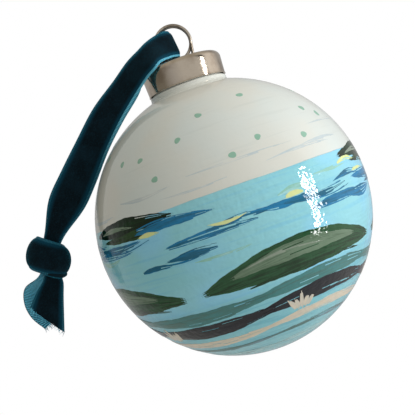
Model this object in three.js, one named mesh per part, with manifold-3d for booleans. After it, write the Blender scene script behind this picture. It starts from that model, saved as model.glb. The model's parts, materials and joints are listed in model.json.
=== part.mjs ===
// A painted ceramic bauble: a hollow slip-cast ball with a stepped neck, a drawn metal cap,
// a spring-wire hanger coiled one and a half turns, and a knotted loop of velvet ribbon
// threaded through the coil.
//
// Millimetres, +Z up the axis of the ball. The ribbon hangs to -X and the flat of the wire
// coil faces -Y. Every dimension below is measured from the centre of the ball; the whole
// model is then lowered so that the origin is the inside top of the coil, where it hangs.

import * as THREE from 'three';
import { mergeVertices } from 'three/addons/utils/BufferGeometryUtils.js';
import Module from 'manifold-3d';

// ---------- Driving dimensions ----------

const BALL_RADIUS = 40;
const BALL_WALL = 2.6;
const MOUTH_GAP = 0.3;             // between the ball's round wall and its neck, one casting
const COLLAR_RADIUS = 11.5;        // the step that the cap's rim sits over
const COLLAR_TOP = 39.8;
const COLLAR_BEVEL = 0.24;
const NECK_RADIUS = 10.7;
const NECK_TOP = 45.8;
const NECK_ROUND = 0.7;            // rounding of the neck's lip
const BORE_RADIUS = 8.5;

const CAP_BASE = 40.1;
const CAP_TOP = 47.2;
const CAP_BASE_RADIUS = 11.6;
const CAP_SHOULDER_RADIUS = 11.85;
const CAP_ROUND = 1.8;             // rounding between the cap's side and its top
const CAP_WALL = 0.4;
const SLOT_LENGTH = 2.4;
const SLOT_WIDTH = 1.6;

const WIRE_DIAMETER = 0.9;
const COIL_RADIUS = 5.15;          // to the middle of the wire
const COIL_GROWTH = 0.2;           // how much wider the front turn is than the back one
const COIL_TURNS = 1.5;
const COIL_PITCH = 1.15;           // along Y, for one turn
const COIL_GAP = 0.3;              // between the coil and the cap's top
const LEG_X = 4.5;                 // where the legs pass through the cap
const LEG_STRAIGHT_END = 41.5;
const LEG_TIP_X = 7.6;
const LEG_TIP = 26;

const RIBBON_THICKNESS = 0.8;
const KNOT_CENTRE = [-55.0, -0.9, 6.3];
const KNOT_HALF_WIDTH = 6.1;
const KNOT_HALF_DEPTH = 4.4;
const KNOT_HALF_HEIGHT = 6.3;
const HANG_TILT = 0.335;           // radians from -Z towards -X: the way the tails hang

const ROUND_SEGMENTS = 48;         // facets round the ball and cap

const COIL_HEIGHT = CAP_TOP + COIL_GAP + COIL_RADIUS + COIL_GROWTH / 2 + WIRE_DIAMETER / 2;
const HANG_POINT = COIL_HEIGHT + COIL_RADIUS - COIL_GROWTH / 3 - WIRE_DIAMETER / 2;

// ---------- Helpers ----------

const wasm = await Module();
wasm.setup();

// The points of an arc in a lathe profile, angles in degrees from +radius towards +height.
function arc(centreRadius, centreHeight, radius, fromAngle, toAngle, steps) {
  const points = [];
  for (let i = 0; i <= steps; i += 1) {
    const angle = THREE.MathUtils.degToRad(fromAngle + ((toAngle - fromAngle) * i) / steps);
    points.push([centreRadius + radius * Math.cos(angle), centreHeight + radius * Math.sin(angle)]);
  }
  return points;
}

// A solid turned about Z from [radius, height] points.
function turned(profile) {
  const points = profile.map(([radius, height]) => new THREE.Vector2(Math.max(radius, 0), height));
  return new THREE.LatheGeometry(points, ROUND_SEGMENTS).rotateX(Math.PI / 2);
}

function toManifold(geometry) {
  const bare = geometry.clone();
  bare.deleteAttribute('normal');
  bare.deleteAttribute('uv');
  const merged = mergeVertices(bare, 1e-4);
  return new wasm.Manifold(new wasm.Mesh({
    numProp: 3,
    vertProperties: new Float32Array(merged.attributes.position.array),
    triVerts: new Uint32Array(merged.index.array),
  }));
}

function toGeometry(solid) {
  const mesh = solid.getMesh();
  const geometry = new THREE.BufferGeometry();
  geometry.setAttribute('position', new THREE.BufferAttribute(mesh.vertProperties, 3));
  geometry.setIndex(new THREE.BufferAttribute(mesh.triVerts, 1));
  geometry.computeVertexNormals();
  return geometry;
}

function cut(geometry, cutters) {
  const solid = cutters.reduce((rest, cutter) => rest.subtract(toManifold(cutter)), toManifold(geometry));
  return toGeometry(solid);
}

// A flat strip of ribbon. Each station gives the points where its lower and upper edges lie.
function ribbonStrip(stations, steps) {
  const lowerRail = new THREE.CatmullRomCurve3(stations.map(([lower]) => new THREE.Vector3(...lower)));
  const upperRail = new THREE.CatmullRomCurve3(stations.map(([, upper]) => new THREE.Vector3(...upper)));
  const strip = new THREE.BoxGeometry(1, 1, 1, steps, 2, 1);
  const position = strip.attributes.position;
  for (let i = 0; i < position.count; i += 1) {
    const along = position.getX(i) + 0.5;
    const across = position.getY(i) + 0.5;
    const through = position.getZ(i) * RIBBON_THICKNESS;
    const lower = lowerRail.getPoint(along);
    const upper = upperRail.getPoint(along);
    const forward = lowerRail.getTangent(along).add(upperRail.getTangent(along));
    const outward = forward.cross(upper.clone().sub(lower)).normalize();
    const point = lower.lerp(upper, across).addScaledVector(outward, through);
    position.setXYZ(i, point.x, point.y, point.z);
  }
  strip.computeVertexNormals();
  return strip;
}

// ---------- Ball ----------

// The angle above the equator at which a sphere's surface is this far from the axis.
function angleAt(distance, sphereRadius) {
  return THREE.MathUtils.radToDeg(Math.acos(distance / sphereRadius));
}

function ballShell() {
  const innerRadius = BALL_RADIUS - BALL_WALL;
  const mouthRadius = COLLAR_RADIUS + MOUTH_GAP;
  return turned([
    ...arc(0, 0, BALL_RADIUS, -90, angleAt(mouthRadius, BALL_RADIUS), 22),
    ...arc(0, 0, innerRadius, angleAt(mouthRadius, innerRadius), -90, 16),
  ]);
}

// The collar and the neck stand in the ball's mouth, from its inner face to the neck's lip.
function ballNeck() {
  const innerRadius = BALL_RADIUS - BALL_WALL;
  const outerFoot = Math.sqrt(innerRadius ** 2 - COLLAR_RADIUS ** 2);
  const innerFoot = Math.sqrt(innerRadius ** 2 - BORE_RADIUS ** 2);
  return turned([
    [BORE_RADIUS, innerFoot],
    [COLLAR_RADIUS, outerFoot],
    [COLLAR_RADIUS, COLLAR_TOP - COLLAR_BEVEL],
    [COLLAR_RADIUS - COLLAR_BEVEL, COLLAR_TOP],
    [NECK_RADIUS, COLLAR_TOP],
    ...arc(NECK_RADIUS - NECK_ROUND, NECK_TOP - NECK_ROUND, NECK_ROUND, 0, 90, 3),
    ...arc(BORE_RADIUS + NECK_ROUND, NECK_TOP - NECK_ROUND, NECK_ROUND, 90, 180, 3),
    [BORE_RADIUS, innerFoot],
  ]);
}

// ---------- Cap ----------

function capCup() {
  const topCentre = CAP_SHOULDER_RADIUS - CAP_ROUND;
  const roundHeight = CAP_TOP - CAP_ROUND;
  return turned([
    [CAP_BASE_RADIUS - CAP_WALL, CAP_BASE],
    [CAP_BASE_RADIUS, CAP_BASE],
    ...arc(topCentre, roundHeight, CAP_ROUND, 0, 90, 6),
    [0, CAP_TOP],
    [0, CAP_TOP - CAP_WALL],
    ...arc(topCentre, roundHeight, CAP_ROUND - CAP_WALL, 90, 0, 6),
    [CAP_BASE_RADIUS - CAP_WALL, CAP_BASE],
  ]);
}

function cap() {
  const slots = [-LEG_X, LEG_X].map((x) => {
    const slot = new THREE.BoxGeometry(SLOT_LENGTH, SLOT_WIDTH, 4 * CAP_WALL);
    return slot.translate(x, 0, CAP_TOP - CAP_WALL / 2);
  });
  return cut(capCup(), slots);
}

// ---------- Hanger ----------

// The left leg rises into the back of the coil, and the coil's front turn becomes the right leg.
function hangerRoute() {
  const halfDepth = (COIL_PITCH * COIL_TURNS) / 2;
  const leg = (side) => [
    [side * LEG_TIP_X, 0, LEG_TIP],
    [side * (LEG_X + LEG_TIP_X) / 2, 0, (LEG_STRAIGHT_END + LEG_TIP) / 2],
    [side * LEG_X, 0, LEG_STRAIGHT_END],
    [side * LEG_X, 0, (CAP_TOP + LEG_STRAIGHT_END) / 2],
    [side * LEG_X, 0, CAP_TOP],
    [side * (LEG_X + 0.15), -side * 0.4 * halfDepth, CAP_TOP + 2],
    [side * (COIL_RADIUS - 0.2), -side * 0.85 * halfDepth, COIL_HEIGHT - 2],
  ];
  const coil = [];
  const steps = 36;
  for (let i = 0; i <= steps; i += 1) {
    const part = i / steps;
    const angle = Math.PI - 2 * Math.PI * COIL_TURNS * part;
    const radius = COIL_RADIUS + COIL_GROWTH * (part - 0.5);
    coil.push([radius * Math.cos(angle), halfDepth * (1 - 2 * part), COIL_HEIGHT + radius * Math.sin(angle)]);
  }
  return [...leg(-1), ...coil, ...leg(1).reverse()].map((point) => new THREE.Vector3(...point));
}

function hangerWire() {
  const section = new THREE.Shape();
  section.absarc(0, 0, WIRE_DIAMETER / 2, 0, 2 * Math.PI);
  return new THREE.ExtrudeGeometry(section, {
    steps: 96,
    curveSegments: 4,
    bevelEnabled: false,
    extrudePath: new THREE.CatmullRomCurve3(hangerRoute()),
  });
}

// ---------- Ribbon ----------

// From the knot up the front, round the left of the coil, and back down behind to the knot.
const RIBBON_LOOP = [
  [[-47.7, -1.6, 10.1], [-52.6, -1.6, 14.3]],
  [[-40.3, -2.8, 16.5], [-48.8, -2.6, 22.5]],
  [[-35.0, -3.8, 22.0], [-42.9, -3.2, 28.6]],
  [[-28.3, -4.8, 29.8], [-35.5, -3.4, 35.7]],
  [[-20.8, -6.2, 36.4], [-27.9, -3.5, 42.8]],
  [[-13.2, -8.4, 42.4], [-19.8, -3.5, 48.3]],
  [[-9.5, -10.0, 44.9], [-14.1, -4.6, 52.1]],
  [[-6.9, -10.9, 46.2], [-10.3, -4.7, 54.0]],
  [[-5.0, -9.6, 47.7], [-7.6, -4.0, 55.5]],
  [[-2.6, -6.0, 48.6], [-4.6, -3.0, 56.6]],
  [[-0.4, -2.5, 49.1], [-1.4, -2.3, 57.2]],
  [[1.0, 0.0, 49.1], [0.1, 0.0, 57.1]],
  [[-0.4, 2.4, 49.1], [-1.3, 2.2, 57.1]],
  [[-5.8, 2.7, 48.2], [-6.4, 2.1, 56.0]],
  [[-10.2, -4.0, 47.8], [-12.0, 1.0, 53.2]],
  [[-12.9, -6.6, 42.4], [-19.3, -1.8, 48.0]],
  [[-20.4, -4.6, 36.4], [-27.6, -1.9, 42.6]],
  [[-28.1, -3.3, 29.8], [-35.2, -1.8, 35.6]],
  [[-34.8, -2.4, 22.1], [-42.7, -1.7, 28.6]],
  [[-40.2, -1.4, 16.6], [-48.7, -1.2, 22.5]],
  [[-47.7, -0.3, 10.1], [-52.6, -0.3, 14.3]],
];

const FRONT_TAIL = [
  [[-58.9, -2.2, 0.6], [-53.2, -2.2, -2.0]],
  [[-61.8, -2.6, -2.1], [-54.3, -2.6, -5.6]],
  [[-65.0, -3.0, -5.1], [-57.6, -3.0, -15.9]],
];

const BACK_TAIL = [
  [[-60.2, 0.6, 1.5], [-55.5, 0.6, -1.2]],
  [[-63.0, 1.0, 0.8], [-59.2, 1.0, -7.3]],
  [[-66.3, 1.4, -0.6], [-63.3, 1.4, -13.8]],
];

function ribbonKnot() {
  const knot = new THREE.SphereGeometry(1, 20, 14);
  knot.scale(KNOT_HALF_WIDTH, KNOT_HALF_DEPTH, KNOT_HALF_HEIGHT);
  return knot.rotateY(HANG_TILT).translate(...KNOT_CENTRE);
}

// ---------- Assembly ----------

const glazedWhite = { color: 0xe6ebe3, roughness: 0.2, metalness: 0 };
const nickel = { color: 0xb3a696, roughness: 0.2, metalness: 1 };
const springSteel = { color: 0xa69d8e, roughness: 0.25, metalness: 1 };
const tealVelvet = { color: 0x0d2a33, roughness: 0.95, metalness: 0 };

const pieces = [
  ['ball_shell', ballShell(), glazedWhite],
  ['ball_neck', ballNeck(), glazedWhite],
  ['cap', cap(), nickel],
  ['hanger_wire', hangerWire(), springSteel],
  ['ribbon_loop', ribbonStrip(RIBBON_LOOP, 96), tealVelvet],
  ['ribbon_knot', ribbonKnot(), tealVelvet],
  ['ribbon_front_tail', ribbonStrip(FRONT_TAIL, 6), tealVelvet],
  ['ribbon_back_tail', ribbonStrip(BACK_TAIL, 6), tealVelvet],
];

const ornament = new THREE.Group();
ornament.position.z = -HANG_POINT;
for (const [name, geometry, finish] of pieces) {
  const mesh = new THREE.Mesh(geometry, new THREE.MeshStandardMaterial(finish));
  mesh.name = name;
  ornament.add(mesh);
}

export default ornament;
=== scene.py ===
"""A hand-painted ceramic bauble with a metal cap, a sprung wire hanger and a knotted velvet ribbon.

Metres, +Z up the axis of the ball, the painted front to -Y, the ribbon hanging to -X.
"""
import json
import math
import random

import bmesh
import bpy
import numpy as np
from mathutils import Matrix, Vector

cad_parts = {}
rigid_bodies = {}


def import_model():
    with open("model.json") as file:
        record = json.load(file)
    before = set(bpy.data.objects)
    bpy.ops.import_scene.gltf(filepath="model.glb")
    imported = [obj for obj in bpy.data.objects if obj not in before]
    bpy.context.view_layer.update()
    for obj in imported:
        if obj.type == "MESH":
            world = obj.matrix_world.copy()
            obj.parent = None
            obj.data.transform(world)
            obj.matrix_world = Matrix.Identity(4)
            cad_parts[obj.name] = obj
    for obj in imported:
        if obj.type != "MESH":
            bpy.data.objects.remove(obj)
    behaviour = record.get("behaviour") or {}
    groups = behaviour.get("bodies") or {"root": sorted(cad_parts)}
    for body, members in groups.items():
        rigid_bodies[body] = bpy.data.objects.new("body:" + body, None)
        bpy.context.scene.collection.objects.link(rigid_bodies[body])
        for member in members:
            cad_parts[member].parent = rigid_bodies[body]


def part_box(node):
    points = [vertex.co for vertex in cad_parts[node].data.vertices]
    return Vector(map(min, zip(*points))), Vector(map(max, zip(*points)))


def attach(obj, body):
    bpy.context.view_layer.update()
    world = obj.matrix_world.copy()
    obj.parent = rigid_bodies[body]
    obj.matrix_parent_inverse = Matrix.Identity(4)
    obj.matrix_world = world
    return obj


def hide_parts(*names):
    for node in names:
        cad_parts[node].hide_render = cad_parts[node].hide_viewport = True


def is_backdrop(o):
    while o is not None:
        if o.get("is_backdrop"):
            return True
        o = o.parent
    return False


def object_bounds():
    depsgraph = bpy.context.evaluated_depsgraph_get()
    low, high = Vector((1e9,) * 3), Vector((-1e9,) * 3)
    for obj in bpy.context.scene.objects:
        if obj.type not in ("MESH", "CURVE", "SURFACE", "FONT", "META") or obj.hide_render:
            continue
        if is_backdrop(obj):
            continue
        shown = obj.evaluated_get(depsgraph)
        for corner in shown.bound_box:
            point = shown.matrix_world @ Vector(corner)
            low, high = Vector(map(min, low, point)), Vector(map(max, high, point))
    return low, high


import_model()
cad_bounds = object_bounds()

MM = 0.001

# ---------- Driving dimensions, as in the CAD model ----------

BALL_RADIUS = 40 * MM
BALL_WALL = 2.6 * MM
BALL_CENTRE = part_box("ball_shell")[0].z + BALL_RADIUS   # height of the ball's centre
COLLAR_RADIUS = 11.5 * MM
COLLAR_TOP = 39.8 * MM                # this and the heights below are from the ball's centre
COLLAR_FILLET = 1.2 * MM
NECK_RADIUS = 10.7 * MM
NECK_TOP = 45.8 * MM
NECK_ROUND = 0.7 * MM
BORE_RADIUS = 8.5 * MM

CAP_BASE = 40.1 * MM
CAP_TOP = 47.2 * MM
CAP_BASE_RADIUS = 11.6 * MM
CAP_SHOULDER_RADIUS = 11.85 * MM
CAP_ROUND = 1.8 * MM
CAP_WALL = 0.4 * MM
CAP_HEM = 0.16 * MM                   # radius of the bead turned along the cap's rim
SLOT_LENGTH = 2.4 * MM
SLOT_WIDTH = 1.6 * MM

WIRE_RADIUS = 0.45 * MM
COIL_RADIUS = 5.15 * MM
COIL_GROWTH = 0.2 * MM
COIL_TURNS = 1.5
COIL_PITCH = 1.15 * MM
COIL_GAP = 0.3 * MM
COIL_HEIGHT = CAP_TOP + COIL_GAP + COIL_RADIUS + COIL_GROWTH / 2 + WIRE_RADIUS
LEG_X = 4.5 * MM
LEG_STRAIGHT_END = 41.5 * MM
LEG_TIP_X = 7.6 * MM
LEG_TIP = 26 * MM

RIBBON_THICKNESS = 0.8 * MM
SELVEDGE_THICKNESS = 0.36 * MM
SELVEDGE_SHARE = 0.075                # of the ribbon's width, along each edge
RIB_PITCH = 0.44 * MM                 # of the ribs woven across the ribbon


# ---------- Curves and meshes ----------

def along(points, shares):
    """Points at the given shares, 0 to 1, of a centripetal Catmull-Rom curve through points."""
    points = np.asarray(points, float)
    padded = np.vstack([2 * points[0] - points[1], points, 2 * points[-1] - points[-2]])
    place = np.asarray(shares) * (len(points) - 1)
    first = np.minimum(place.astype(int), len(points) - 2)
    near = [padded[first + k] for k in range(4)]
    knots = [np.zeros(len(first))]
    for a, b in zip(near, near[1:]):
        knots.append(knots[-1] + np.maximum(np.linalg.norm(b - a, axis=1) ** 0.5, 1e-6))
    here = knots[1] + (place - first) * (knots[2] - knots[1])

    def blend(a, b, start, end):
        return a + (b - a) * ((here - start) / (end - start))[:, None]

    pairs = [blend(near[k], near[k + 1], knots[k], knots[k + 1]) for k in range(3)]
    trios = [blend(pairs[k], pairs[k + 1], knots[k], knots[k + 2]) for k in range(2)]
    return blend(trios[0], trios[1], knots[1], knots[2])


def unit(vectors):
    return vectors / np.linalg.norm(vectors, axis=-1, keepdims=True)


def length_of(points):
    return float(np.linalg.norm(np.diff(points, axis=0), axis=1).sum())


def grid_faces(rows, columns, around=False):
    """Quads between rows x columns points; around joins the last column to the first."""
    faces = []
    for i in range(rows - 1):
        for j in range(columns if around else columns - 1):
            k = (j + 1) % columns
            faces.append((i * columns + j, i * columns + k, (i + 1) * columns + k, (i + 1) * columns + j))
    return faces


def new_piece(name, points, faces, material, uv=None, sharp=40, merge=False):
    """A mesh object. uv gives one (u, v) for each point; sharp is the angle of a hard edge, in degrees."""
    mesh = bpy.data.meshes.new(name)
    mesh.from_pydata([tuple(p) for p in points], [], faces)
    if uv is not None:
        corners = np.zeros(len(mesh.loops), np.int32)
        mesh.loops.foreach_get("vertex_index", corners)
        layer = mesh.uv_layers.new(name="weave")
        layer.data.foreach_set("uv", np.asarray(uv, np.float32)[corners].ravel())
    if merge:
        work = bmesh.new()
        work.from_mesh(mesh)
        bmesh.ops.remove_doubles(work, verts=work.verts, dist=1e-7)
        bmesh.ops.recalc_face_normals(work, faces=work.faces)
        work.to_mesh(mesh)
        work.free()
    mesh.shade_smooth()
    mesh.set_sharp_from_angle(angle=math.radians(sharp))
    mesh.materials.append(material)
    piece = bpy.data.objects.new(name, mesh)
    bpy.context.scene.collection.objects.link(piece)
    return piece


def arc(centre_radius, centre_height, radius, start, end, steps):
    """Points of an arc in a turned profile, angles in degrees from +radius towards +height."""
    angles = np.radians(np.linspace(start, end, steps + 1))
    return [(centre_radius + radius * math.cos(a), centre_height + radius * math.sin(a)) for a in angles]


def turned(name, profile, segments, material, sharp=40):
    """A solid turned about the ball's axis from (radius, height above the ball's centre) points."""
    points = []
    for radius, height in profile:
        for k in range(segments):
            turn = 2 * math.pi * k / segments
            points.append((radius * math.sin(turn), -radius * math.cos(turn), BALL_CENTRE + height))
    faces = grid_faces(len(profile), segments, True)
    return new_piece(name, points, faces, material, sharp=sharp, merge=True)


WIRE_END_DOME = (0.15, 0.5, 0.8, 0.96)   # the rings of a domed end, as shares of the wire's radius


def swept(name, route, radius, sides, material):
    """A round wire along route, with domed ends."""
    forward = unit(np.gradient(route, axis=0))
    side = np.cross(forward[0], (0, 1, 0))
    middle = []
    for centre, ahead in zip(route, forward):
        side = unit(side - ahead * np.dot(side, ahead))
        middle.append((centre, side, ahead, radius))

    def dome(end, outward, shares):
        """Rings that close one end, outward being -1 at the start of the route and 1 at its end."""
        centre, side, ahead, _ = end
        rings = []
        for share in shares:
            out = outward * radius * math.sin(math.acos(share))
            rings.append((centre + ahead * out, side, ahead, radius * share))
        return rings

    opening = dome(middle[0], -1, WIRE_END_DOME)
    closing = dome(middle[-1], 1, reversed(WIRE_END_DOME))
    points = []
    for centre, side, ahead, size in [*opening, *middle, *closing]:
        up = np.cross(ahead, side)
        for k in range(sides):
            turn = 2 * math.pi * k / sides
            points.append(centre + size * (math.cos(turn) * side + math.sin(turn) * up))
    rows = len(points) // sides
    faces = grid_faces(rows, sides, True)
    faces.append(tuple(range(sides)))
    faces.append(tuple(reversed(range((rows - 1) * sides, rows * sides))))
    return new_piece(name, points, faces, material, sharp=60, merge=True)


# ---------- Materials ----------

def srgb(red, green, blue):
    """Linear colour from the 0-255 values of a screen."""
    return tuple(c / 12.92 if c <= 0.04045 else ((c + 0.055) / 1.055) ** 2.4
                 for c in (red / 255, green / 255, blue / 255))


class Shader:
    """One material being made.

    Each method adds a node and gives its output. Inputs take values or other nodes' outputs.
    """

    def __init__(self, name, **principled):
        self.material = bpy.data.materials.new(name)
        self.material.use_nodes = True
        self.tree = self.material.node_tree
        self.surface = self.tree.nodes["Principled BSDF"]
        for socket, value in principled.items():
            self.set(self.surface, socket.replace("_", " "), value)

    def set(self, node, socket, value):
        target = node.inputs[socket]
        if isinstance(value, bpy.types.NodeSocket):
            self.tree.links.new(value, target)
        elif isinstance(value, tuple) and len(value) == 3 and target.type == "RGBA":
            target.default_value = (*value, 1)
        else:
            target.default_value = value

    def add(self, kind, inputs, output=0, **settings):
        node = self.tree.nodes.new("ShaderNode" + kind)
        for key, value in settings.items():
            setattr(node, key, value)
        for socket, value in inputs.items():
            self.set(node, socket, value)
        return node.outputs[output]

    def place(self):
        return self.add("TexCoord", {}, "Object")

    def uv(self):
        return self.add("UVMap", {}, uv_map="weave")

    def axes(self, vector):
        x = self.add("SeparateXYZ", {0: vector})
        return [x.node.outputs[k] for k in range(3)]

    def scaled(self, vector, scale):
        return self.add("Mapping", {"Vector": vector, "Scale": scale})

    def math(self, operation, a, b=0.5):
        return self.add("Math", {0: a, 1: b}, operation=operation)

    def noise(self, vector, scale, detail=3.0, roughness=0.55):
        inputs = {"Vector": vector, "Scale": scale, "Detail": detail, "Roughness": roughness}
        return self.add("TexNoise", inputs)

    def ramp(self, share, low, high):
        """0 below low, 1 above high, smooth between."""
        return self.add("MapRange", {"Value": share, "From Min": low, "From Max": high},
                        interpolation_type="SMOOTHSTEP")

    def mix(self, share, a, b):
        """Colour a where share is 0, and b where it is 1."""
        node = self.tree.nodes.new("ShaderNodeMix")
        node.data_type = "RGBA"
        for k, value in ((0, share), (6, a), (7, b)):
            self.set(node, k, value)
        return node.outputs[2]

    def colour_of(self, attribute):
        return self.add("Attribute", {}, "Color", attribute_name=attribute)

    def bump(self, height, depth, strength=1.0, under=None):
        inputs = {"Height": height, "Distance": depth, "Strength": strength}
        if under is not None:
            inputs["Normal"] = under
        return self.add("Bump", inputs)

    def finish(self, **principled):
        for socket, value in principled.items():
            self.set(self.surface, socket.replace("_", " "), value)
        return self.material


HORIZON = 8.8 * MM                    # above the ball's centre
HORIZON_BLUR = 0.15 * MM
GLAZE_RIPPLES = 620.0                 # per metre, the fine unevenness of glaze and paint alike


def glazed_ball():
    """Off-white sky above, aqua sea below, brushed round the ball under a clear glaze."""
    s = Shader("glazed_ball", Roughness=0.07, IOR=1.5, Specular_IOR_Level=0.5)
    place = s.place()
    _, _, z = s.axes(place)
    height = s.math("SUBTRACT", z, BALL_CENTRE)
    brushed = s.noise(s.scaled(place, (45, 45, 900)), 1.0, 4.0)
    cloudy = s.noise(place, 42.0, 2.0)
    sky = s.mix(s.ramp(cloudy, 0.35, 0.65), srgb(224, 224, 214), srgb(220, 227, 222))
    sky = s.mix(s.math("MULTIPLY", s.ramp(brushed, 0.55, 0.75), 0.22), sky, srgb(196, 203, 196))
    sea = s.mix(s.ramp(cloudy, 0.4, 0.6), srgb(150, 216, 226), srgb(150, 218, 246))
    sea = s.mix(s.math("MULTIPLY", s.ramp(brushed, 0.52, 0.7), 0.35), sea, srgb(112, 194, 228))
    streaked = s.math("MULTIPLY", s.ramp(brushed, 0.45, 0.62), 0.6)
    deep = s.mix(streaked, srgb(140, 208, 220), srgb(104, 184, 204))
    uneven = s.math("ADD", height, s.math("MULTIPLY", brushed, 6 * MM))
    below = s.mix(s.ramp(uneven, -18 * MM, -12 * MM), deep, sea)
    wobble = s.math("MULTIPLY", s.noise(s.scaled(place, (90, 90, 20)), 1.0, 3.0), 0.0007)
    above = s.ramp(s.math("ADD", height, wobble), HORIZON, HORIZON + HORIZON_BLUR)
    base = s.mix(above, below, sky)
    streaks = s.noise(s.scaled(place, (110, 110, 850)), 1.0, 1.0)
    ripples = s.noise(place, GLAZE_RIPPLES, 1.0)
    relief = s.math("ADD", s.math("MULTIPLY", streaks, 0.5), s.math("MULTIPLY", ripples, 0.5))
    depth = s.math("SUBTRACT", 1.0, s.math("MULTIPLY", above, 0.8))
    normal = s.bump(s.math("MULTIPLY", relief, depth), 0.00028, 1.0)
    return s.finish(Base_Color=base, Normal=normal)


def brushed_paint():
    """Opaque paint in each stroke's own two colours, streaked along the stroke by the bristles."""
    s = Shader("brushed_paint", IOR=1.5, Specular_IOR_Level=0.4)
    uv = s.uv()
    bristles = s.noise(s.scaled(uv, (140, 2600, 1)), 1.0, 4.0, 0.6)
    broad = s.noise(s.scaled(uv, (60, 500, 1)), 1.0, 2.0)
    streaks = s.math("ADD", s.math("MULTIPLY", bristles, 0.55), s.math("MULTIPLY", broad, 0.45))
    base = s.mix(s.ramp(streaks, 0.44, 0.6), s.colour_of("paint"), s.colour_of("second_paint"))
    ripples = s.noise(s.place(), GLAZE_RIPPLES, 1.0)
    relief = s.math("ADD", s.math("MULTIPLY", broad, 0.5), s.math("MULTIPLY", ripples, 0.5))
    normal = s.bump(s.math("ADD", relief, s.math("MULTIPLY", bristles, 0.06)), 0.00026, 1.0)
    return s.finish(Base_Color=base, Normal=normal, Roughness=s.ramp(bristles, -0.6, 5.6))


def nickel():
    s = Shader("cap_metal", Metallic=1.0, Base_Color=srgb(198, 184, 168))
    place = s.place()
    drawn = s.noise(s.scaled(place, (500, 500, 60)), 1.0, 3.0)
    specks = s.noise(place, 1100.0, 3.0)
    tint = s.mix(s.ramp(s.noise(place, 160.0, 3.0), 0.4, 0.65), srgb(205, 192, 176), srgb(176, 160, 144))
    rough = s.math("ADD", s.math("MULTIPLY", specks, 0.12), 0.08)
    dented = s.bump(s.noise(place, 110.0, 1.0), 0.0005, 0.6)
    return s.finish(Base_Color=tint, Roughness=rough, Normal=s.bump(drawn, 0.00002, 0.25, dented))


def spring_wire():
    s = Shader("spring_wire", Metallic=1.0)
    place = s.place()
    worn = s.noise(place, 420.0, 4.0)
    tint = s.mix(s.ramp(worn, 0.42, 0.62), srgb(196, 186, 172), srgb(150, 138, 124))
    rough = s.math("ADD", s.math("MULTIPLY", worn, 0.3), 0.2)
    return s.finish(Base_Color=tint, Roughness=rough, Normal=s.bump(s.noise(place, 1500.0), 0.00002, 0.3))


def velvet():
    """Dark cut pile over the middle and ribbed satin along both edges, with painted light: a lighter teal
    sheen on the pile towards the edges, lighter rib crests, and a lit lower edge from about 24 to 50 mm
    along each strip on.

    u is in metres along the ribbon, and v goes from 0 to 1 across it.
    """
    s = Shader("velvet", Sheen_Weight=0.8, Sheen_Roughness=0.3, Sheen_Tint=srgb(44, 160, 190), IOR=1.3,
               Specular_IOR_Level=0.25)
    uv = s.uv()
    u, v, _ = s.axes(uv)
    place = s.place()
    pile = s.noise(place, 3200.0, 4.0, 0.7)
    brushed = s.noise(place, 190.0, 3.0)
    nap = s.mix(s.ramp(brushed, 0.35, 0.68), srgb(7, 20, 27), srgb(12, 32, 42))
    nap = s.mix(s.math("MULTIPLY", s.ramp(pile, 0.5, 0.72), 0.7), nap, srgb(18, 54, 68))
    ribs = s.math("SINE", s.math("MULTIPLY", u, 2 * math.pi / RIB_PITCH))
    # The selvedge ribs are painted lighter on their crests and darker between them: painted highlight and
    # painted shade of the rib relief.
    shaded = s.mix(s.ramp(ribs, -0.7, 0.5), srgb(10, 52, 70), srgb(44, 116, 138))
    lit = s.mix(s.ramp(ribs, -0.7, 0.5), srgb(16, 104, 136), srgb(128, 220, 244))
    # From about 24 to 50 mm along each strip onwards, the lower selvedge takes the lit rib colours instead
    # of the shaded ones: a painted highlight where that edge faces the light.
    painted_highlight_share = s.math("MULTIPLY", s.ramp(u, 0.024, 0.050), s.math("LESS_THAN", v, 0.5))
    satin = s.mix(painted_highlight_share, shaded, lit)
    edge = s.math("ABSOLUTE", s.math("SUBTRACT", v, 0.5))
    # Both edges of the pile are painted a lighter teal: a painted sheen where the pile is seen at a grazing
    # angle.
    nap = s.mix(s.ramp(edge, 0.28, 0.43), nap, srgb(10, 64, 84))
    on_edge = s.ramp(edge, 0.5 - SELVEDGE_SHARE, 0.515 - SELVEDGE_SHARE)
    base = s.mix(on_edge, nap, satin)
    normal = s.bump(s.math("MULTIPLY", pile, s.math("SUBTRACT", 1.0, on_edge)), 0.00022, 0.9)
    rough = s.math("SUBTRACT", 0.95, s.math("MULTIPLY", on_edge, 0.5))
    return s.finish(Base_Color=base, Roughness=rough, Normal=normal)


def satin_back():
    """The woven back of the ribbon: light teal with ribs across it, painted lighter on their crests and
    darker between them as painted highlight and shade.
    """
    s = Shader("satin_back", Sheen_Weight=0.3, Sheen_Roughness=0.3, Roughness=0.42, IOR=1.45)
    uv = s.uv()
    u, _, _ = s.axes(uv)
    yarn = s.noise(s.scaled(uv, (900, 26, 1)), 1.0, 3.0)
    ribs = s.math("SINE", s.math("MULTIPLY", s.math("ADD", u, s.math("MULTIPLY", yarn, 0.00012)),
                                 2 * math.pi / RIB_PITCH))
    # Painted highlight on the rib crests and painted shade between them.
    base = s.mix(s.ramp(ribs, -0.8, 0.6), srgb(16, 96, 124), srgb(122, 222, 250))
    base = s.mix(s.math("MULTIPLY", s.ramp(yarn, 0.45, 0.7), 0.3), base, srgb(66, 164, 186))
    return s.finish(Base_Color=base, Normal=s.bump(ribs, 0.00010, 0.8))


# ---------- Camera, light and floor ----------

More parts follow.
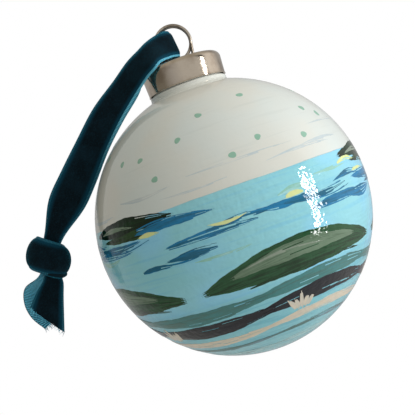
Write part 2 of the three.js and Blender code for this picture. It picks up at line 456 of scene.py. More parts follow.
def camera():
    """Level with the ball and close to it, turned so that the ornament leans to the left."""
    distance, raised, lean = 0.223, math.radians(2.3), math.radians(19.2)
    aim_right, aim_up = -0.03346, 0.01168       # off the ball's centre, as shares of the distance
    ball = Vector((0, 0, BALL_CENTRE))
    eye = ball + distance * Vector((0, -math.cos(raised), math.sin(raised)))
    ahead = (ball - eye).normalized()
    level = Vector((1, 0, 0))
    upright = level.cross(ahead)
    right = level * math.cos(lean) - upright * math.sin(lean)
    up = level * math.sin(lean) + upright * math.cos(lean)
    ahead = (ahead + aim_right * right + aim_up * up).normalized()
    right = (right - ahead * right.dot(ahead)).normalized()
    up = right.cross(ahead)
    data = bpy.data.cameras.new("camera")
    data.lens = 66.1
    data.sensor_width = 36
    data.clip_start = 0.005
    made = bpy.data.objects.new("camera", data)
    made.matrix_world = Matrix.Translation(eye) @ Matrix((right, up, -ahead)).transposed().to_4x4()
    bpy.context.scene.collection.objects.link(made)
    bpy.context.scene.camera = made


# The room round the ball, as (degrees to the right of the camera, tone): a grey back, a dim left,
# a pale front, and at the right a window beside a dark upright edge.
GREY = (0.45, 0.45, 0.45)
DIM = (0.22, 0.21, 0.18)
PALE = (0.60, 0.60, 0.58)
DARK = (0.08, 0.08, 0.08)
BRIGHT = (0.95, 0.93, 0.90)
ROOM = [
    (-180, GREY), (-120, GREY), (-90, DIM), (-60, DIM), (-30, GREY), (0, PALE), (50, PALE),
    (60, DARK), (70, DARK), (80, BRIGHT), (105, BRIGHT), (130, GREY), (180, GREY),
]
ROOM_STRENGTH = 1.0
CEILING = (0.50, 0.48, 0.42)


def world():
    """White behind the object, and a soft room to light it."""
    made = bpy.data.worlds.new("room")
    made.use_nodes = True
    tree = made.node_tree
    tree.nodes.clear()

    def add(kind, *links, **settings):
        node = tree.nodes.new("ShaderNode" + kind)
        for key, value in settings.items():
            setattr(node, key, value)
        for socket, source in links:
            tree.links.new(source, node.inputs[socket])
        return node

    place = add("TexCoord").outputs["Generated"]
    apart = add("SeparateXYZ", (0, place))
    front = add("Math", (0, apart.outputs["Y"]), operation="MULTIPLY")
    front.inputs[1].default_value = -1
    bearing = add("Math", (0, apart.outputs["X"]), (1, front.outputs[0]), operation="ARCTAN2")
    share = add("MapRange", (0, bearing.outputs[0]))
    share.inputs["From Min"].default_value = -math.pi
    share.inputs["From Max"].default_value = math.pi
    sides = add("ValToRGB", ("Fac", share.outputs[0]))
    stops = sides.color_ramp.elements
    for k, (degrees, colour) in enumerate(ROOM):
        at = (degrees + 180) / 360
        stop = stops[k] if k < 2 else stops.new(at)
        stop.position = at
        stop.color = (*colour, 1)
    raised = add("MapRange", (0, apart.outputs["Z"]), interpolation_type="SMOOTHSTEP")
    raised.inputs["From Min"].default_value = 0.35
    raised.inputs["From Max"].default_value = 0.95
    whole = add("Mix", (0, raised.outputs[0]), (6, sides.outputs[0]), data_type="RGBA")
    whole.inputs[7].default_value = (*CEILING, 1)
    room = add("Background", ("Color", whole.outputs[2]))
    room.inputs["Strength"].default_value = ROOM_STRENGTH
    plain = add("Background")
    plain.inputs["Color"].default_value = (1, 1, 1, 1)
    seen = add("LightPath").outputs["Is Camera Ray"]
    join = add("MixShader", (0, seen), (1, room.outputs[0]), (2, plain.outputs[0]))
    add("OutputWorld", ("Surface", join.outputs[0]))
    bpy.context.scene.world = made


def window_light(name, direction, distance, size, power, colour):
    """A rectangular light of size (width, height), looking at the ball from direction."""
    data = bpy.data.lights.new(name, "AREA")
    data.shape = "RECTANGLE"
    data.size, data.size_y = size
    data.energy = power
    data.color = colour
    made = bpy.data.objects.new(name, data)
    towards = Vector(direction).normalized()
    made.location = Vector((0, 0, BALL_CENTRE)) + distance * towards
    made.rotation_euler = towards.to_track_quat("Z", "Y").to_euler()
    bpy.context.scene.collection.objects.link(made)
    return made


def floor():
    """A plain pale disc well below the hanging ball."""
    s = Shader("floor_paint", Roughness=0.7)
    mottle = s.noise(s.place(), 30.0, 3.0)
    material = s.finish(Base_Color=s.mix(mottle, srgb(236, 236, 233), srgb(243, 243, 241)))
    radius, depth, drop = 0.45, 0.004, 0.30
    profile = [(0, -drop), (radius, -drop), (radius, -drop - depth), (0, -drop - depth)]
    disc = turned("floor", profile, 96, material)
    disc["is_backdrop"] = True


camera()
world()
glint = window_light("window_glint", (0.9, -0.45, -0.1), 0.40, (0.036, 0.28), 1.2, (1.0, 1.0, 1.0))
glint.visible_diffuse = False
glow = window_light("window_glow", (0.92, -0.30, 0.25), 0.55, (0.45, 0.55), 2.5, (0.93, 0.95, 1.0))
glow.visible_glossy = False
floor()
bpy.context.scene.view_settings.view_transform = "Standard"


# ---------- Ball ----------

def make_ball():
    inner = BALL_RADIUS - BALL_WALL
    fillet_centre = COLLAR_RADIUS + COLLAR_FILLET
    reach = BALL_RADIUS + COLLAR_FILLET
    fillet_height = math.sqrt(reach ** 2 - fillet_centre ** 2)
    meets = math.degrees(math.atan2(fillet_height, fillet_centre))
    bore_angle = math.degrees(math.acos(BORE_RADIUS / inner))
    edge = 0.3 * MM
    profile = [
        *arc(0, 0, BALL_RADIUS, -90, meets, 230),
        *arc(fillet_centre, fillet_height, COLLAR_FILLET, meets - 180, -180, 8)[1:],
        *arc(COLLAR_RADIUS - edge, COLLAR_TOP - edge, edge, 0, 90, 5),
        (NECK_RADIUS, COLLAR_TOP),
        *arc(NECK_RADIUS - NECK_ROUND, NECK_TOP - NECK_ROUND, NECK_ROUND, 0, 90, 6),
        *arc(BORE_RADIUS + NECK_ROUND, NECK_TOP - NECK_ROUND, NECK_ROUND, 90, 180, 6),
        *arc(0, 0, inner, bore_angle, -90, 80),
    ]
    ball = turned("ball", profile, 288, glazed_ball())
    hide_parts("ball_shell", "ball_neck")
    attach(ball, "ball")


make_ball()


# ---------- Painting ----------
# The real ball carries someone's own hand-painted coast, which isn't copied. This is a generic
# coast in similar colours, laid out by rules and seeded draws all round the ball: flecks in a pale
# sky, headlands, dashes of water, rounded hills, a shore and tufts of grass. Places are longitude
# and latitude on the ball in degrees, and widths are in mm.

COLOURS = {
    "mint": srgb(148, 190, 168),
    "pale": srgb(218, 221, 215),
    "mist": srgb(196, 208, 210),
    "bottle": srgb(14, 32, 18),
    "ink": srgb(18, 22, 36),
    "moss": srgb(42, 74, 38),
    "deep": srgb(34, 128, 178),
    "deep_teal": srgb(34, 102, 130),
    "slate": srgb(112, 150, 166),
    "lemon": srgb(226, 234, 164),
    "stone": srgb(140, 152, 136),
    "hill": srgb(110, 134, 110),
    "hill_dark": srgb(88, 112, 88),
    "fir": srgb(36, 84, 50),
    "fir_dark": srgb(18, 52, 26),
    "teal_water": srgb(72, 134, 134),
    "teal_dark": srgb(76, 118, 112),
    "charcoal": srgb(22, 24, 32),
    "sand": srgb(228, 214, 190),
    "shell": srgb(214, 208, 194),
    "lagoon": srgb(150, 204, 188),
    "ice": srgb(170, 222, 226),
}

FILM_STEP = 0.010 * MM      # each coat of paint stands this much above the one under it
LANE_WIDTH = 0.24           # mm: a bristle's lane
CELL_LENGTH = 0.7           # mm
coats = {}                  # how many coats already lie on each small patch of the ball


def on_ball(longitude, latitude):
    lon, lat = np.radians(longitude), np.radians(latitude)
    return np.stack([np.cos(lat) * np.sin(lon), -np.cos(lat) * np.cos(lon), np.sin(lat)], axis=-1)


def stroke(colour, second, path, dry):
    """One brush stroke as (points, faces, uv, colour, second colour).

    dry thins it out towards its end.
    """
    path = np.asarray(path, float)
    radius = BALL_RADIUS / MM
    reach = length_of(on_ball(path[:, 0], path[:, 1])) * radius
    rows = max(6, int(reach / CELL_LENGTH)) + 1
    lanes = max(3, int(path[:, 2].max() / LANE_WIDTH))
    shares = np.linspace(0, 1, rows)
    samples = along(path, shares)
    centre = on_ball(samples[:, 0], samples[:, 1])
    across = unit(np.cross(centre, np.gradient(centre, axis=0)))
    width = np.maximum(samples[:, 2], 0.12)
    wave = [random.uniform(0, 6.28) for _ in range(4)]
    slow = 0.07 * np.sin(shares * reach * 0.6 + wave[0])
    quick = 0.03 * np.sin(shares * reach * 2.1 + wave[1])
    wobble = (slow + quick) * np.minimum(width, 1.5)
    grid = []
    for j in range(lanes + 1):
        side = 2 * j / lanes - 1
        offset = 0.5 * side * width + side ** 3 * wobble
        angle = (offset / radius)[:, None]
        grid.append(centre * np.cos(angle) + across * np.sin(angle))
    grid = np.stack(grid, axis=1)
    kept = set()
    bite = min(0.9 * path[:, 2].max(), 2.6) / max(reach, 1)
    phases = [random.uniform(0, 6.28) for _ in range(4)]
    for j in range(lanes):
        side = j * LANE_WIDTH
        near_end, far_end = (
            0.5 + 0.3 * math.sin(1.9 * side + phases[k]) + 0.2 * math.sin(4.7 * side + phases[k + 1])
            for k in (0, 2)
        )
        start = bite * (0.6 * near_end + 0.4 * random.random() ** 2)
        end = 1 - bite * (0.6 * far_end + 0.4 * random.random() ** 2)
        load = random.random()
        gap = 0
        for i in range(rows - 1):
            here = (i + 0.5) / (rows - 1)
            if not start <= here <= end:
                continue
            if gap:
                gap -= 1
                continue
            if dry and random.random() < 0.25 * dry * here ** 1.5 * max(0.0, 1.1 - load):
                gap = random.randint(3, 14)
                continue
            kept.add((i, j))
    if not kept:
        return None
    patches = {tuple(np.round(grid[i, j] * radius / 1.1).astype(int)) for i, j in kept}
    coat = 1 + max(coats.get(patch, 0) for patch in patches)
    for patch in patches:
        coats[patch] = coat
    outer = BALL_RADIUS + FILM_STEP * (0.6 + coat)
    inner = BALL_RADIUS - 2 * FILM_STEP
    origin = np.array((0, 0, BALL_CENTRE))
    index, points, uv, faces = {}, [], [], []
    shift = random.uniform(0, 1)

    def corner(i, j, low=False):
        key = (i, j, low)
        if key not in index:
            index[key] = len(points)
            points.append(origin + grid[i, j] * (inner if low else outer))
            uv.append((shift + shares[i] * reach * MM, shift + j * LANE_WIDTH * MM))
        return index[key]

    for i, j in sorted(kept):
        faces.append((corner(i, j), corner(i + 1, j), corner(i + 1, j + 1), corner(i, j + 1)))
        for near, a, b in (((i - 1, j), (i, j + 1), (i, j)), ((i + 1, j), (i + 1, j), (i + 1, j + 1)),
                           ((i, j - 1), (i, j), (i + 1, j)), ((i, j + 1), (i + 1, j + 1), (i, j + 1))):
            if near not in kept:
                faces.append((corner(*b), corner(*a), corner(*a, True), corner(*b, True)))
    return points, faces, uv, COLOURS[colour], COLOURS[second or colour]


def painted(name, strokes, material):
    """One piece from all the strokes of a part of the painting."""
    points, faces, uv, first, second = [], [], [], [], []
    for made in strokes:
        if made is None:
            continue
        base = len(points)
        points += made[0]
        faces += [tuple(base + k for k in face) for face in made[1]]
        uv += made[2]
        first += [(*made[3], 1)] * len(made[0])
        second += [(*made[4], 1)] * len(made[0])
    piece = new_piece(name, points, faces, material, uv=uv, sharp=30)
    for attribute, values in (("paint", first), ("second_paint", second)):
        layer = piece.data.color_attributes.new(attribute, "FLOAT_COLOR", "POINT")
        layer.data.foreach_set("color", np.asarray(values, np.float32).ravel())
    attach(piece, "ball")
    return piece


HEADLANDS = 3
HILLS = 4
TUFTS = 6
FLECKS = 30
GOLDEN_ANGLE = 137.5


def lens(colour, second, longitude, latitude, length, width, dry=0.0, bow=0.0):
    """A stroke that swells in its middle, length degrees long, bowed upwards by bow degrees."""
    path = []
    for part in np.linspace(0, 1, 7):
        swell = math.sin(math.pi * part)
        along_it = longitude + (part - 0.5) * length
        path.append((along_it, latitude + bow * swell, width * (0.12 + 0.88 * swell)))
    return colour, second, path, dry


def dashes(colour, second, count, latitudes, lengths, widths, dry):
    """Short strokes strewn round the ball between two latitudes."""
    made = []
    for k in range(count):
        longitude = 360 * (k + random.random()) / count
        made.append(lens(colour, second, longitude, random.uniform(*latitudes), random.uniform(*lengths),
                         random.uniform(*widths), dry, random.uniform(-1.5, 1.5)))
    return made


def ring(colour, second, latitude, sway, width, dry, strokes=6):
    """Long strokes end to end round the ball, along a latitude that rises and falls by sway degrees."""
    made = []
    share = 360 / strokes
    for k in range(strokes):
        path = []
        for part in np.linspace(-0.1, 1.1, 8):
            longitude = (k + part) * share
            swell = math.sin(math.pi * (part + 0.1) / 1.2)
            rise = sway * math.sin(math.radians(3 * longitude))
            path.append((longitude, latitude + rise, width * (0.3 + 0.7 * swell)))
        made.append((colour, second, path, dry))
    return made


def sky_strokes():
    return dashes("mist", "pale", 16, (15, 26), (22, 46), (0.4, 1.1), 1.3)


def sea_strokes():
    return [
        *dashes("deep", "deep_teal", 16, (-9, 9), (22, 40), (1.6, 3.4), 0.5),
        *dashes("deep_teal", "deep", 16, (-11, 8), (16, 34), (0.9, 2.2), 0.5),
        *dashes("lagoon", "ice", 9, (-10, 8), (12, 24), (0.8, 1.6), 0.6),
        *dashes("lemon", None, 12, (1, 10), (8, 16), (0.9, 1.8), 0.4),
    ]


def headland_strokes():
    made = []
    for k in range(HEADLANDS):
        middle = 360 * k / HEADLANDS - 45
        made += [
            lens("bottle", "fir_dark", middle, 10, 50, 4.4, 0.1, 1),
            lens("moss", "bottle", middle + 5, 7, 44, 2.4, 0.3),
            lens("stone", "hill", middle - 6, 10, 24, 1.2, 0.6, 1),
        ]
    return made


def hill_strokes():
    made = []
    for k in range(HILLS):
        middle = 360 * k / HILLS + 20
        made += [
            lens("fir", "fir_dark", middle, -22, 84, 9.6, 0.0, 4),
            lens("hill", "hill_dark", middle, -19, 58, 4.4, 0.1, 3),
            lens("fir_dark", "fir", middle + 4, -25, 56, 1.6, 0.4, 2),
            lens("stone", None, middle - 6, -17, 34, 0.8, 1.0, 2),
        ]
    return made


def shore_strokes():
    return [
        *ring("teal_water", "teal_dark", -30, 1.5, 4.2, 0.2),
        *ring("charcoal", "ink", -37, 2, 5.2, 0.1),
        *ring("sand", "shell", -46, 2, 3.2, 0.2, 5),
        *ring("teal_dark", "slate", -53, 1.5, 2, 0.5, 4),
        *ring("ice", "slate", -62, 1, 3.4, 0.3, 4),
    ]


def grass_strokes():
    """Tufts of five blades that fan out from one foot."""
    made = []
    for k in range(TUFTS):
        foot = 360 * (k + 0.3 * random.random()) / TUFTS
        for blade in range(-2, 3):
            tip = 8 - abs(blade) + random.uniform(-1, 1)
            path = [(foot + 1.4 * blade, -42, 0.5), (foot + 2.2 * blade, -42 + 0.5 * tip, 1.3),
                    (foot + 3.4 * blade, -42 + tip, 0.4)]
            made.append(("shell", "sand", path, 0.1))
    return made


def fleck(longitude, latitude):
    """A round dab of mint, about 1.9 mm across."""
    centre = on_ball(longitude, latitude)
    across = unit(np.cross(centre, (0.0, 0.0, 1.0)))
    up = np.cross(across, centre)
    radius = random.uniform(0.78, 0.95) * MM
    lobes = [random.uniform(0, 6.28) for _ in range(3)]
    rings, sides = 4, 24
    origin = np.array((0, 0, BALL_CENTRE))
    points, uv = [], []
    for row in range(rings + 2):
        for k in range(sides):
            turn = 2 * math.pi * k / sides
            uneven = 1 + 0.10 * math.sin(2 * turn + lobes[0]) + 0.07 * math.sin(3 * turn + lobes[1])
            out = radius * uneven * min(row, rings) / rings
            flat = centre * BALL_RADIUS + out * (math.cos(turn) * across + math.sin(turn) * up)
            height = (4 if row < rings else 2.5 if row == rings else -2) * FILM_STEP
            points.append(origin + unit(flat) * (BALL_RADIUS + height))
            uv.append((out * math.cos(turn) + longitude, out * math.sin(turn)))
    faces = grid_faces(rings + 2, sides, True)
    return points, faces, uv, COLOURS["mint"], COLOURS["mint"]


def streaky(strokes):
    """Each stroke of deep water with dry hairlines along its edges, as a worn brush leaves."""
    for colour, second, path, dry in strokes:
        yield colour, second, path, dry
        if not colour.startswith("deep"):
            continue
        for side in (-1, 1):
            slide = random.uniform(-5, 5)
            thin = random.uniform(0.24, 0.42)
            beside = [(lon + slide, lat + side * math.degrees((0.5 * width + 0.25) * MM / BALL_RADIUS), thin)
                      for lon, lat, width in path[1:]]
            if random.random() < 0.6:
                yield colour, second, beside, 1.6


def make_painting():
    random.seed(11)
    paint = brushed_paint()
    parts = {
        "sky": sky_strokes(),
        "shore": shore_strokes(),
        "hills": hill_strokes(),
        "grass": grass_strokes(),
        "headlands": headland_strokes(),
        "sea": sea_strokes(),
    }
    for name, strokes in parts.items():
        laid = [stroke(colour, second, path, dry) for colour, second, path, dry in streaky(strokes)]
        if name == "sky":
            laid += [fleck(GOLDEN_ANGLE * k % 360, random.uniform(20, 52)) for k in range(FLECKS)]
        painted("painted_" + name, laid, paint)


make_painting()


# ---------- Cap ----------

def make_cap():
    top_centre = CAP_SHOULDER_RADIUS - CAP_ROUND
    round_height = CAP_TOP - CAP_ROUND
    inner_base = CAP_BASE_RADIUS - CAP_WALL
    profile = [
        (inner_base, CAP_BASE + CAP_HEM),
        *arc(CAP_BASE_RADIUS - CAP_HEM + 0.1 * MM, CAP_BASE + CAP_HEM, CAP_HEM, -170, 90, 10),
        (CAP_BASE_RADIUS - 0.02 * MM, CAP_BASE + 2.6 * CAP_HEM),
        *arc(top_centre, round_height, CAP_ROUND, 0, 90, 14),
        (0.5 * top_centre, CAP_TOP),
        (0, CAP_TOP),
        (0, CAP_TOP - CAP_WALL),
        (0.5 * top_centre, CAP_TOP - CAP_WALL),
        *arc(top_centre, round_height, CAP_ROUND - CAP_WALL, 90, 0, 10),
        (inner_base, CAP_BASE + CAP_HEM),
    ]
    metal = nickel()
    cap = turned("cap_cup", profile, 192, metal, sharp=35)
    for x in (-LEG_X, LEG_X):
        cutter = slot_cutter(x, metal)
        cut = cap.modifiers.new("slot", "BOOLEAN")
        cut.object = cutter
        cut.solver = "EXACT"
    shape = cap.evaluated_get(bpy.context.evaluated_depsgraph_get())
    solid = bpy.data.meshes.new_from_object(shape)
    cap.modifiers.clear()
    cap.data = solid
    solid.shade_smooth()
    solid.set_sharp_from_angle(angle=math.radians(35))
    for spare in [o for o in bpy.data.objects if o.name.startswith("slot_cutter")]:
        bpy.data.objects.remove(spare)
    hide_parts("cap")
    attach(cap, "cap")


def slot_cutter(x, material):
    """A slot with round ends, through the top of the cap."""
    half = (SLOT_LENGTH - SLOT_WIDTH) / 2
    outline = [(x + half + SLOT_WIDTH / 2 * math.cos(a), SLOT_WIDTH / 2 * math.sin(a))
               for a in np.radians(np.linspace(-90, 90, 13))]
    outline += [(x - half + SLOT_WIDTH / 2 * math.cos(a), SLOT_WIDTH / 2 * math.sin(a))
                for a in np.radians(np.linspace(90, 270, 13))]
    heights = (BALL_CENTRE + CAP_TOP - 2 * CAP_WALL, BALL_CENTRE + CAP_TOP + CAP_WALL)
    points = [(px, py, z) for z in heights for px, py in outline]
    faces = grid_faces(2, len(outline), True)
    faces += [tuple(reversed(range(len(outline)))), tuple(range(len(outline), 2 * len(outline)))]
    return new_piece("slot_cutter", points, faces, material, merge=True)


make_cap()


# ---------- Hanger ----------

def hanger_route():
    """The left leg, one and a half turns of the coil, and the right leg, as in the CAD model."""
    half_depth = COIL_PITCH * COIL_TURNS / 2

    def leg(side):
        return [
            (side * LEG_TIP_X, 0, LEG_TIP),
            (side * (LEG_X + LEG_TIP_X) / 2, 0, (LEG_STRAIGHT_END + LEG_TIP) / 2),
            (side * LEG_X, 0, LEG_STRAIGHT_END),
            (side * LEG_X, 0, (CAP_TOP + LEG_STRAIGHT_END) / 2),
            (side * LEG_X, 0, CAP_TOP),
            (side * (LEG_X + 0.15 * MM), -side * 0.4 * half_depth, CAP_TOP + 2 * MM),
            (side * (COIL_RADIUS - 0.2 * MM), -side * 0.85 * half_depth, COIL_HEIGHT - 2 * MM),
        ]

    coil = []
    steps = 36
    for i in range(steps + 1):
        part = i / steps
        angle = math.pi - 2 * math.pi * COIL_TURNS * part
        radius = COIL_RADIUS + COIL_GROWTH * (part - 0.5)
        height = COIL_HEIGHT + radius * math.sin(angle)
        coil.append((radius * math.cos(angle), half_depth * (1 - 2 * part), height))
    route = np.array([*leg(-1), *coil, *reversed(leg(1))])
    route[:, 2] += BALL_CENTRE
    return route


def make_hanger():
    route = along(hanger_route(), np.linspace(0, 1, 620))
    wire = swept("spring_hanger", route, WIRE_RADIUS, 20, spring_wire())
    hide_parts("hanger_wire")
    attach(wire, "hanger")
    return wire


hanger = make_hanger()


# ---------- Ribbon ----------
# Each station gives where the lower and the upper edge of the ribbon lie, in mm from the ball's
# centre. They follow the ribbon's outline in the photo, and lie close to the CAD model's stations.

LOOP = [
    [(-49.0, -1.6, 10.4), (-53.4, -1.6, 13.9)],
    [(-40.0, -2.8, 16.4), (-49.0, -2.6, 22.3)],
    [(-34.4, -3.8, 22.2), (-42.9, -3.2, 28.6)],
    [(-27.5, -4.8, 30.0), (-35.5, -3.4, 35.7)],
    [(-20.8, -6.2, 36.4), (-27.9, -3.5, 42.8)],
    [(-13.2, -8.4, 42.4), (-19.8, -3.5, 48.3)],
    [(-9.5, -10.0, 44.9), (-14.1, -4.6, 52.1)],
    [(-6.9, -10.9, 46.2), (-10.3, -4.7, 54.0)],
    [(-5.0, -9.6, 47.7), (-7.6, -4.0, 55.5)],
    [(-2.6, -6.0, 48.6), (-4.6, -3.0, 56.6)],
    [(-0.4, -2.5, 49.1), (-1.4, -2.3, 57.2)],
    [(1.0, 0.0, 49.1), (0.1, 0.0, 57.1)],
    [(-0.4, 2.4, 49.1), (-1.3, 2.2, 57.1)],
    [(-5.8, 2.7, 48.2), (-6.4, 2.1, 56.0)],
    [(-10.2, -4.0, 47.8), (-12.0, 1.0, 53.2)],
    [(-12.9, -6.6, 42.4), (-19.3, -1.8, 48.0)],
    [(-20.4, -4.6, 36.4), (-27.6, -1.9, 42.6)],
    [(-27.4, -3.3, 30.0), (-35.2, -1.8, 35.6)],
    [(-34.3, -2.4, 22.2), (-42.7, -1.7, 28.6)],
    [(-40.0, -1.4, 16.5), (-48.9, -1.2, 22.3)],
    [(-49.0, -0.3, 10.4), (-53.4, -0.3, 13.9)],
]
FRONT_TAIL = [
    [(-58.2, -2.2, 1.0), (-52.9, -2.2, -1.4)],
    [(-61.3, -2.6, -1.9), (-54.2, -2.6, -5.6)],
    [(-64.6, -3.0, -5.6), (-57.4, -3.0, -15.7)],
]
BACK_TAIL = [
    [(-60.0, 0.6, 2.0), (-55.5, 0.6, -1.2)],
    [(-65.2, 1.0, 0.4), (-59.0, 4.5, -5.0)],
    [(-67.1, 1.3, -4.4), (-59.6, 5.5, -8.4)],
    [(-66.4, 1.5, -9.2), (-59.8, 5.5, -10.6)],
    [(-63.8, 1.6, -13.4), (-60.2, 5.4, -11.4)],
]


def ribbon_section(pile_side):
    """The ribbon cut across, as a loop of (share of the width, height in thicknesses, on the back).

    The pile stands on one side and rounds over towards both edges, where the flat selvedge shows.
    """
    edge = SELVEDGE_SHARE
    low = -0.5
    flat = low + SELVEDGE_THICKNESS / RIBBON_THICKNESS
    section = []
    for k in range(19):
        out = 2 * k / 18 - 1
        section.append(((0.5 - edge) * out, 0.5 - 0.42 * abs(out) ** 7, False))
    right = [
        (0.5 - 0.8 * edge, flat, False),
        (0.5 - 0.3 * edge, flat, False),
        (0.5, (flat + low) / 2, False),
        (0.5 - 0.3 * edge, low, False),
    ]
    section += right
    section += [((0.5 - 0.3 * edge) * (1 - 2 * k / 12), low, True) for k in range(13)][1:-1]
    section += [(-share, height, False) for share, height, _ in reversed(right)]
    return [(share, pile_side * height, back) for share, height, back in section]


def smoothed(rail, reach, window=2.4 * MM):
    """The rail with its small kinks evened out over window, its ends kept."""
    half = max(1, int(window / reach * len(rail)))
    padded = np.vstack([2 * rail[0] - rail[half:0:-1], rail, 2 * rail[-1] - rail[-2:-half - 2:-1]])
    weights = np.hanning(2 * half + 3)[1:-1]
    weights /= weights.sum()
    return np.stack([np.convolve(padded[:, k], weights, "valid") for k in range(3)], axis=1)


def ribbon_strip(stations, pile_side, crown=0.0, detail=4):
    """A length of velvet ribbon between two rails, with the ribs of its weave across it.

    crown is how far its middle stands out from the line between its edges.
    """
    rails = [np.array([station[k] for station in stations]) * MM + (0, 0, BALL_CENTRE) for k in range(2)]
    reach = length_of(along((rails[0] + rails[1]) / 2, np.linspace(0, 1, 400)))
    rows = int(reach / RIB_PITCH * detail) + 1
    lower, upper = (smoothed(along(rail, np.linspace(0, 1, rows)), reach) for rail in rails)
    ahead = unit(np.gradient(lower, axis=0) + np.gradient(upper, axis=0))
    outward = unit(np.cross(ahead, upper - lower))
    steps = np.linalg.norm(np.diff((lower + upper) / 2, axis=0), axis=1)
    travelled = np.concatenate([[0], np.cumsum(steps)])
    ribs = 0.5 + 0.5 * np.sin(travelled * 2 * math.pi / RIB_PITCH)
    section = ribbon_section(pile_side)
    points, uv = [], []
    for i in range(rows):
        for share, height, back in section:
            woven = back or abs(share) > 0.5 - SELVEDGE_SHARE
            swell = 0.84 + 0.16 * ribs[i] if woven else 1.0
            reach_out = share * (1 + (0.008 * (ribs[i] - 0.5) if abs(share) > 0.49 else 0))
            base = (lower[i] + upper[i]) / 2 + (upper[i] - lower[i]) * reach_out
            bulge = crown * pile_side * (1 - 4 * share ** 2)
            points.append(base + outward[i] * (height * swell * RIBBON_THICKNESS + bulge))
            uv.append((travelled[i], share + 0.5))
    count = len(section)
    faces = grid_faces(rows, count, True)
    backs = [section[j][2] or section[(j + 1) % count][2] for j in range(count)]
    slots = [1 if backs[k % count] else 0 for k in range(len(faces))]
    faces += [tuple(reversed(range(count))), tuple(range((rows - 1) * count, rows * count))]
    slots += [1, 1]
    return points, faces, uv, slots, travelled[-1]


def ribbon_piece(name, strips, node, pile, back):
    """One piece made of one or more strips, standing in for the CAD node, which it hides."""
    points, faces, uv, slots = [], [], [], []
    reach = 0
    for made in strips:
        base = len(points)
        points += made[0]
        faces += [tuple(base + k for k in face) for face in made[1]]
        uv += made[2]
        slots += made[3]
        reach += made[4]
    piece = new_piece(name, points, faces, pile, uv=uv, sharp=50)
    piece.data.materials.append(back)
    piece.data.polygons.foreach_set("material_index", slots)
    work = bmesh.new()
    work.from_mesh(piece.data)
    bmesh.ops.recalc_face_normals(work, faces=work.faces)
    work.to_mesh(piece.data)
    work.free()
    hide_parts(node)
    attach(piece, "ribbon")
    max(reach, 0.0101)
    return piece


KNOT_CENTRE = np.array((-54.9, -0.9, 6.4))
HANG_TILT = 0.335                     # radians from straight down towards -X: the way the tails hang


def knot_wrap(half_width, half_depth, band, start, end, slope, shift=(0, 0), narrow=0.0, flare=0.0):
    """Stations of ribbon wound round the knot, from the start to the end angle in degrees.

    Angles go round the hang direction, 0 to the right and 90 to the front. slope tips the band,
    band is its width in mm, shift moves its middle right and down the hang, narrow thins its ends,
    and flare widens its lower edge, mostly to the left.
    """
    down = np.array((-math.sin(HANG_TILT), 0, -math.cos(HANG_TILT)))
    side = np.array((math.cos(HANG_TILT), 0, -math.sin(HANG_TILT)))
    front = np.array((0, -1, 0))
    stations = []
    for k in range(15):
        part = k / 14
        angle = math.radians(start + (end - start) * part)
        width = band * (1 - narrow * abs(2 * part - 1) ** 3)
        aside = side * (half_width * math.cos(angle) + shift[0])
        forward = front * half_depth * math.sin(angle)
        below = down * (shift[1] + slope * math.cos(angle))
        middle = KNOT_CENTRE + aside + forward + below
        spread = side * flare * (math.cos(angle) - 1)
        stations.append([middle + down * width / 2 + spread / 2, middle - down * width / 2 - spread / 2])
    return stations


def tucked(stations, before=None, after=None):
    """The stations with one more at either end, hidden inside the knot."""
    return [*([before] if before else []), *stations, *([after] if after else [])]


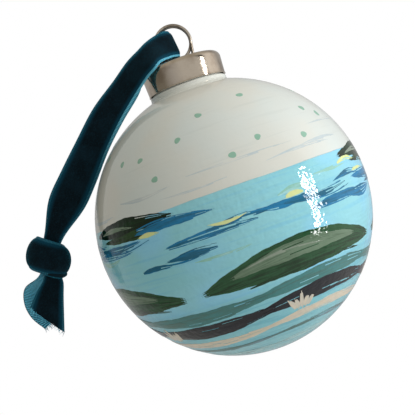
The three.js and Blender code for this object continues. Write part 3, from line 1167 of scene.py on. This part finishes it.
def fray(name, station, towards, count, pile):
    """The loose threads of a cut end: fine tapering hairs from the edge between two points, in mm."""
    first, last = (np.array(point) for point in station)
    points, faces, uv = [], [], []
    sides = 5
    for k in range(count):
        share = (k + random.uniform(0.1, 0.9)) / count
        root = first + (last - first) * share - unit(np.array(towards)) * 0.35
        root = root + np.array((0, random.uniform(-0.22, 0.22), 0))
        aim = unit(np.array(towards) + np.array([random.uniform(-0.45, 0.45) for _ in range(3)]))
        droop = np.array([random.uniform(-0.25, 0.25), random.uniform(-0.2, 0.2), -0.1])
        hair = random.uniform(0.9, 2.0)
        base = len(points)
        for ring, (reach, thick) in enumerate(((0, 0.07), (0.35, 0.06), (0.7, 0.045), (1, 0.015))):
            centre = root + aim * hair * reach + droop * reach ** 2
            side = unit(np.cross(aim, (0.3, 1.0, 0.2)))
            up = np.cross(aim, side)
            for j in range(sides):
                turn = 2 * math.pi * j / sides
                points.append((centre + thick * (math.cos(turn) * side + math.sin(turn) * up)) * MM
                              + np.array((0, 0, BALL_CENTRE)))
                uv.append((share * 0.01, 0.5))
        faces += [tuple(base + v for v in face) for face in grid_faces(4, sides, True)]
        faces.append(tuple(base + 3 * sides + j for j in range(sides)))
        faces.append(tuple(base + j for j in reversed(range(sides))))
    piece = new_piece(name, points, faces, pile, uv=uv)
    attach(piece, "ribbon")
    return piece


def make_ribbon():
    random.seed(5)
    pile, back = velvet(), satin_back()
    loop = tucked(LOOP, [(-53.4, -1.8, 5.2), (-56.6, -1.8, 8.4)], [(-53.4, -0.2, 5.2), (-56.6, -0.2, 8.4)])
    front = tucked(FRONT_TAIL, before=[(-57.0, -1.4, 5.0), (-53.6, -1.4, 4.0)])
    behind = tucked(BACK_TAIL, before=[(-57.4, 0.4, 5.2), (-54.4, 0.4, 4.2)])
    ribbon_piece("ribbon_loop_velvet", [ribbon_strip(loop, 1)], "ribbon_loop", pile, back)
    knot = [
        ribbon_strip(knot_wrap(4.4, 3.0, 8.6, -20, 350, 0.9, (0, -0.3), 0, 0.7), -1, 1.3 * MM),
        ribbon_strip(knot_wrap(4.7, 3.6, 10.0, 205, -25, 1.3, (0, -0.4), 0.2, 1.2), 1, 1.5 * MM),
        ribbon_strip(knot_wrap(3.2, 2.7, 3.0, 190, -10, 0.9, (1.0, 4.0), 0.3), 1, 0.8 * MM),
    ]
    ribbon_piece("ribbon_knot_velvet", knot, "ribbon_knot", pile, back)
    front_fray = fray("ribbon_front_fray", FRONT_TAIL[-1], (-0.5, -0.1, -0.6), 42, back)
    back_fray = fray("ribbon_back_fray", BACK_TAIL[-1], (0.25, 0.1, -0.8), 30, back)
    tails = (("front", front, 1, front_fray), ("back", behind, -1, back_fray))
    for side, stations, pile_side, hairs in tails:
        tail = f"ribbon_{side}_tail"
        strips = [ribbon_strip(stations, pile_side)]
        ribbon_piece(tail + "_velvet", strips, tail, pile, back)


make_ribbon()

boxes = [[list(map(float, corner)) for corner in box] for box in (cad_bounds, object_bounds())]
